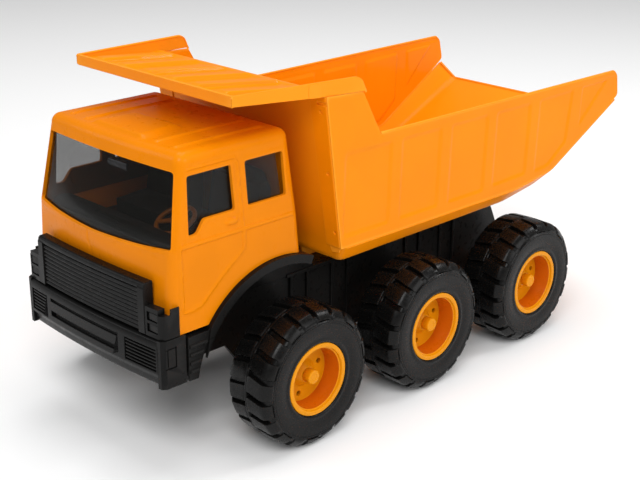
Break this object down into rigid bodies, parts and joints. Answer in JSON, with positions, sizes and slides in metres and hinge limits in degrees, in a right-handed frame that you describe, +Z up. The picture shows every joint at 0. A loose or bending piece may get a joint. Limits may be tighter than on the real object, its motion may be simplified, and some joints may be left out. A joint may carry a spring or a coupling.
{
  "type": "toy dump truck",
  "caption": "Toy dump truck whose sheet-metal bed tips on a rear hinge pin over a moulded chassis, with a glazed cab and free-rolling lugged wheels.",
  "frame": {"origin": "on the ground, midway along the truck's length and width", "axes": "+Z up; the truck faces -Y; its left side is +X"},
  "size_m": [0.257, 0.5326, 0.275],
  "materials": {
    "bed_paint": "gloss",
    "cab_plastic": "gloss",
    "rim_plastic": "satin",
    "control_plastic": "satin",
    "trim_plastic": "satin",
    "interior_plastic": "satin",
    "mirror_plastic": "polished",
    "smoked_window": "polished",
    "tyre_rubber": "matte",
    "steel": "satin"
  },
  "bodies": {
    "chassis": {"hub_cap_front_left": "rim_plastic", "hub_cap_front_right": "rim_plastic", "hub_cap_middle_left": "rim_plastic", "hub_cap_middle_right": "rim_plastic", "hub_cap_rear_left": "rim_plastic", "hub_cap_rear_right": "rim_plastic", "axle_front": "steel", "axle_middle": "steel", "axle_rear": "steel", "hinge_pin": "steel", "cab_shell": "cab_plastic", "steering_wheel": "control_plastic", "window_insert": "smoked_window", "rear_view_mirror": "mirror_plastic", "interior_tub": "interior_plastic", "steering_column": "interior_plastic", "chassis_frame": "trim_plastic", "front_bumper": "trim_plastic", "grille_panel": "trim_plastic", "lamp_block_left": "trim_plastic", "lamp_block_right": "trim_plastic", "wheel_arch_left": "trim_plastic", "wheel_arch_right": "trim_plastic"},
    "bed": {"bed_floor": "bed_paint", "bed_side_left": "bed_paint", "bed_side_right": "bed_paint", "canopy": "bed_paint", "bed_rail_left": "bed_paint", "bed_rail_right": "bed_paint"},
    "wheel_front_left": {"tyre_front_left": "tyre_rubber", "rim_front_left": "rim_plastic"},
    "wheel_front_right": {"tyre_front_right": "tyre_rubber", "rim_front_right": "rim_plastic"},
    "wheel_middle_left": {"tyre_middle_left": "tyre_rubber", "rim_middle_left": "rim_plastic"},
    "wheel_middle_right": {"tyre_middle_right": "tyre_rubber", "rim_middle_right": "rim_plastic"},
    "wheel_rear_left": {"tyre_rear_left": "tyre_rubber", "rim_rear_left": "rim_plastic"},
    "wheel_rear_right": {"tyre_rear_right": "tyre_rubber", "rim_rear_right": "rim_plastic"}
  },
  "joints": [
    {"name": "bed_tip", "type": "hinge", "parent": "chassis", "child": "bed", "pos_m": [0, 0.13568, 0.1176], "axis": [-1, 0, 0], "range_deg": [0, 50]},
    {"name": "wheel_front_left_spin", "type": "hinge", "parent": "chassis", "child": "wheel_front_left", "pos_m": [0.106, -0.14932, 0.055], "axis": [1, 0, 0], "continuous": true},
    {"name": "wheel_front_right_spin", "type": "hinge", "parent": "chassis", "child": "wheel_front_right", "pos_m": [-0.106, -0.14932, 0.055], "axis": [1, 0, 0], "continuous": true},
    {"name": "wheel_middle_left_spin", "type": "hinge", "parent": "chassis", "child": "wheel_middle_left", "pos_m": [0.106, -0.01332, 0.055], "axis": [1, 0, 0], "continuous": true},
    {"name": "wheel_middle_right_spin", "type": "hinge", "parent": "chassis", "child": "wheel_middle_right", "pos_m": [-0.106, -0.01332, 0.055], "axis": [1, 0, 0], "continuous": true},
    {"name": "wheel_rear_left_spin", "type": "hinge", "parent": "chassis", "child": "wheel_rear_left", "pos_m": [0.106, 0.12268, 0.055], "axis": [1, 0, 0], "continuous": true},
    {"name": "wheel_rear_right_spin", "type": "hinge", "parent": "chassis", "child": "wheel_rear_right", "pos_m": [-0.106, 0.12268, 0.055], "axis": [1, 0, 0], "continuous": true}
  ]
}
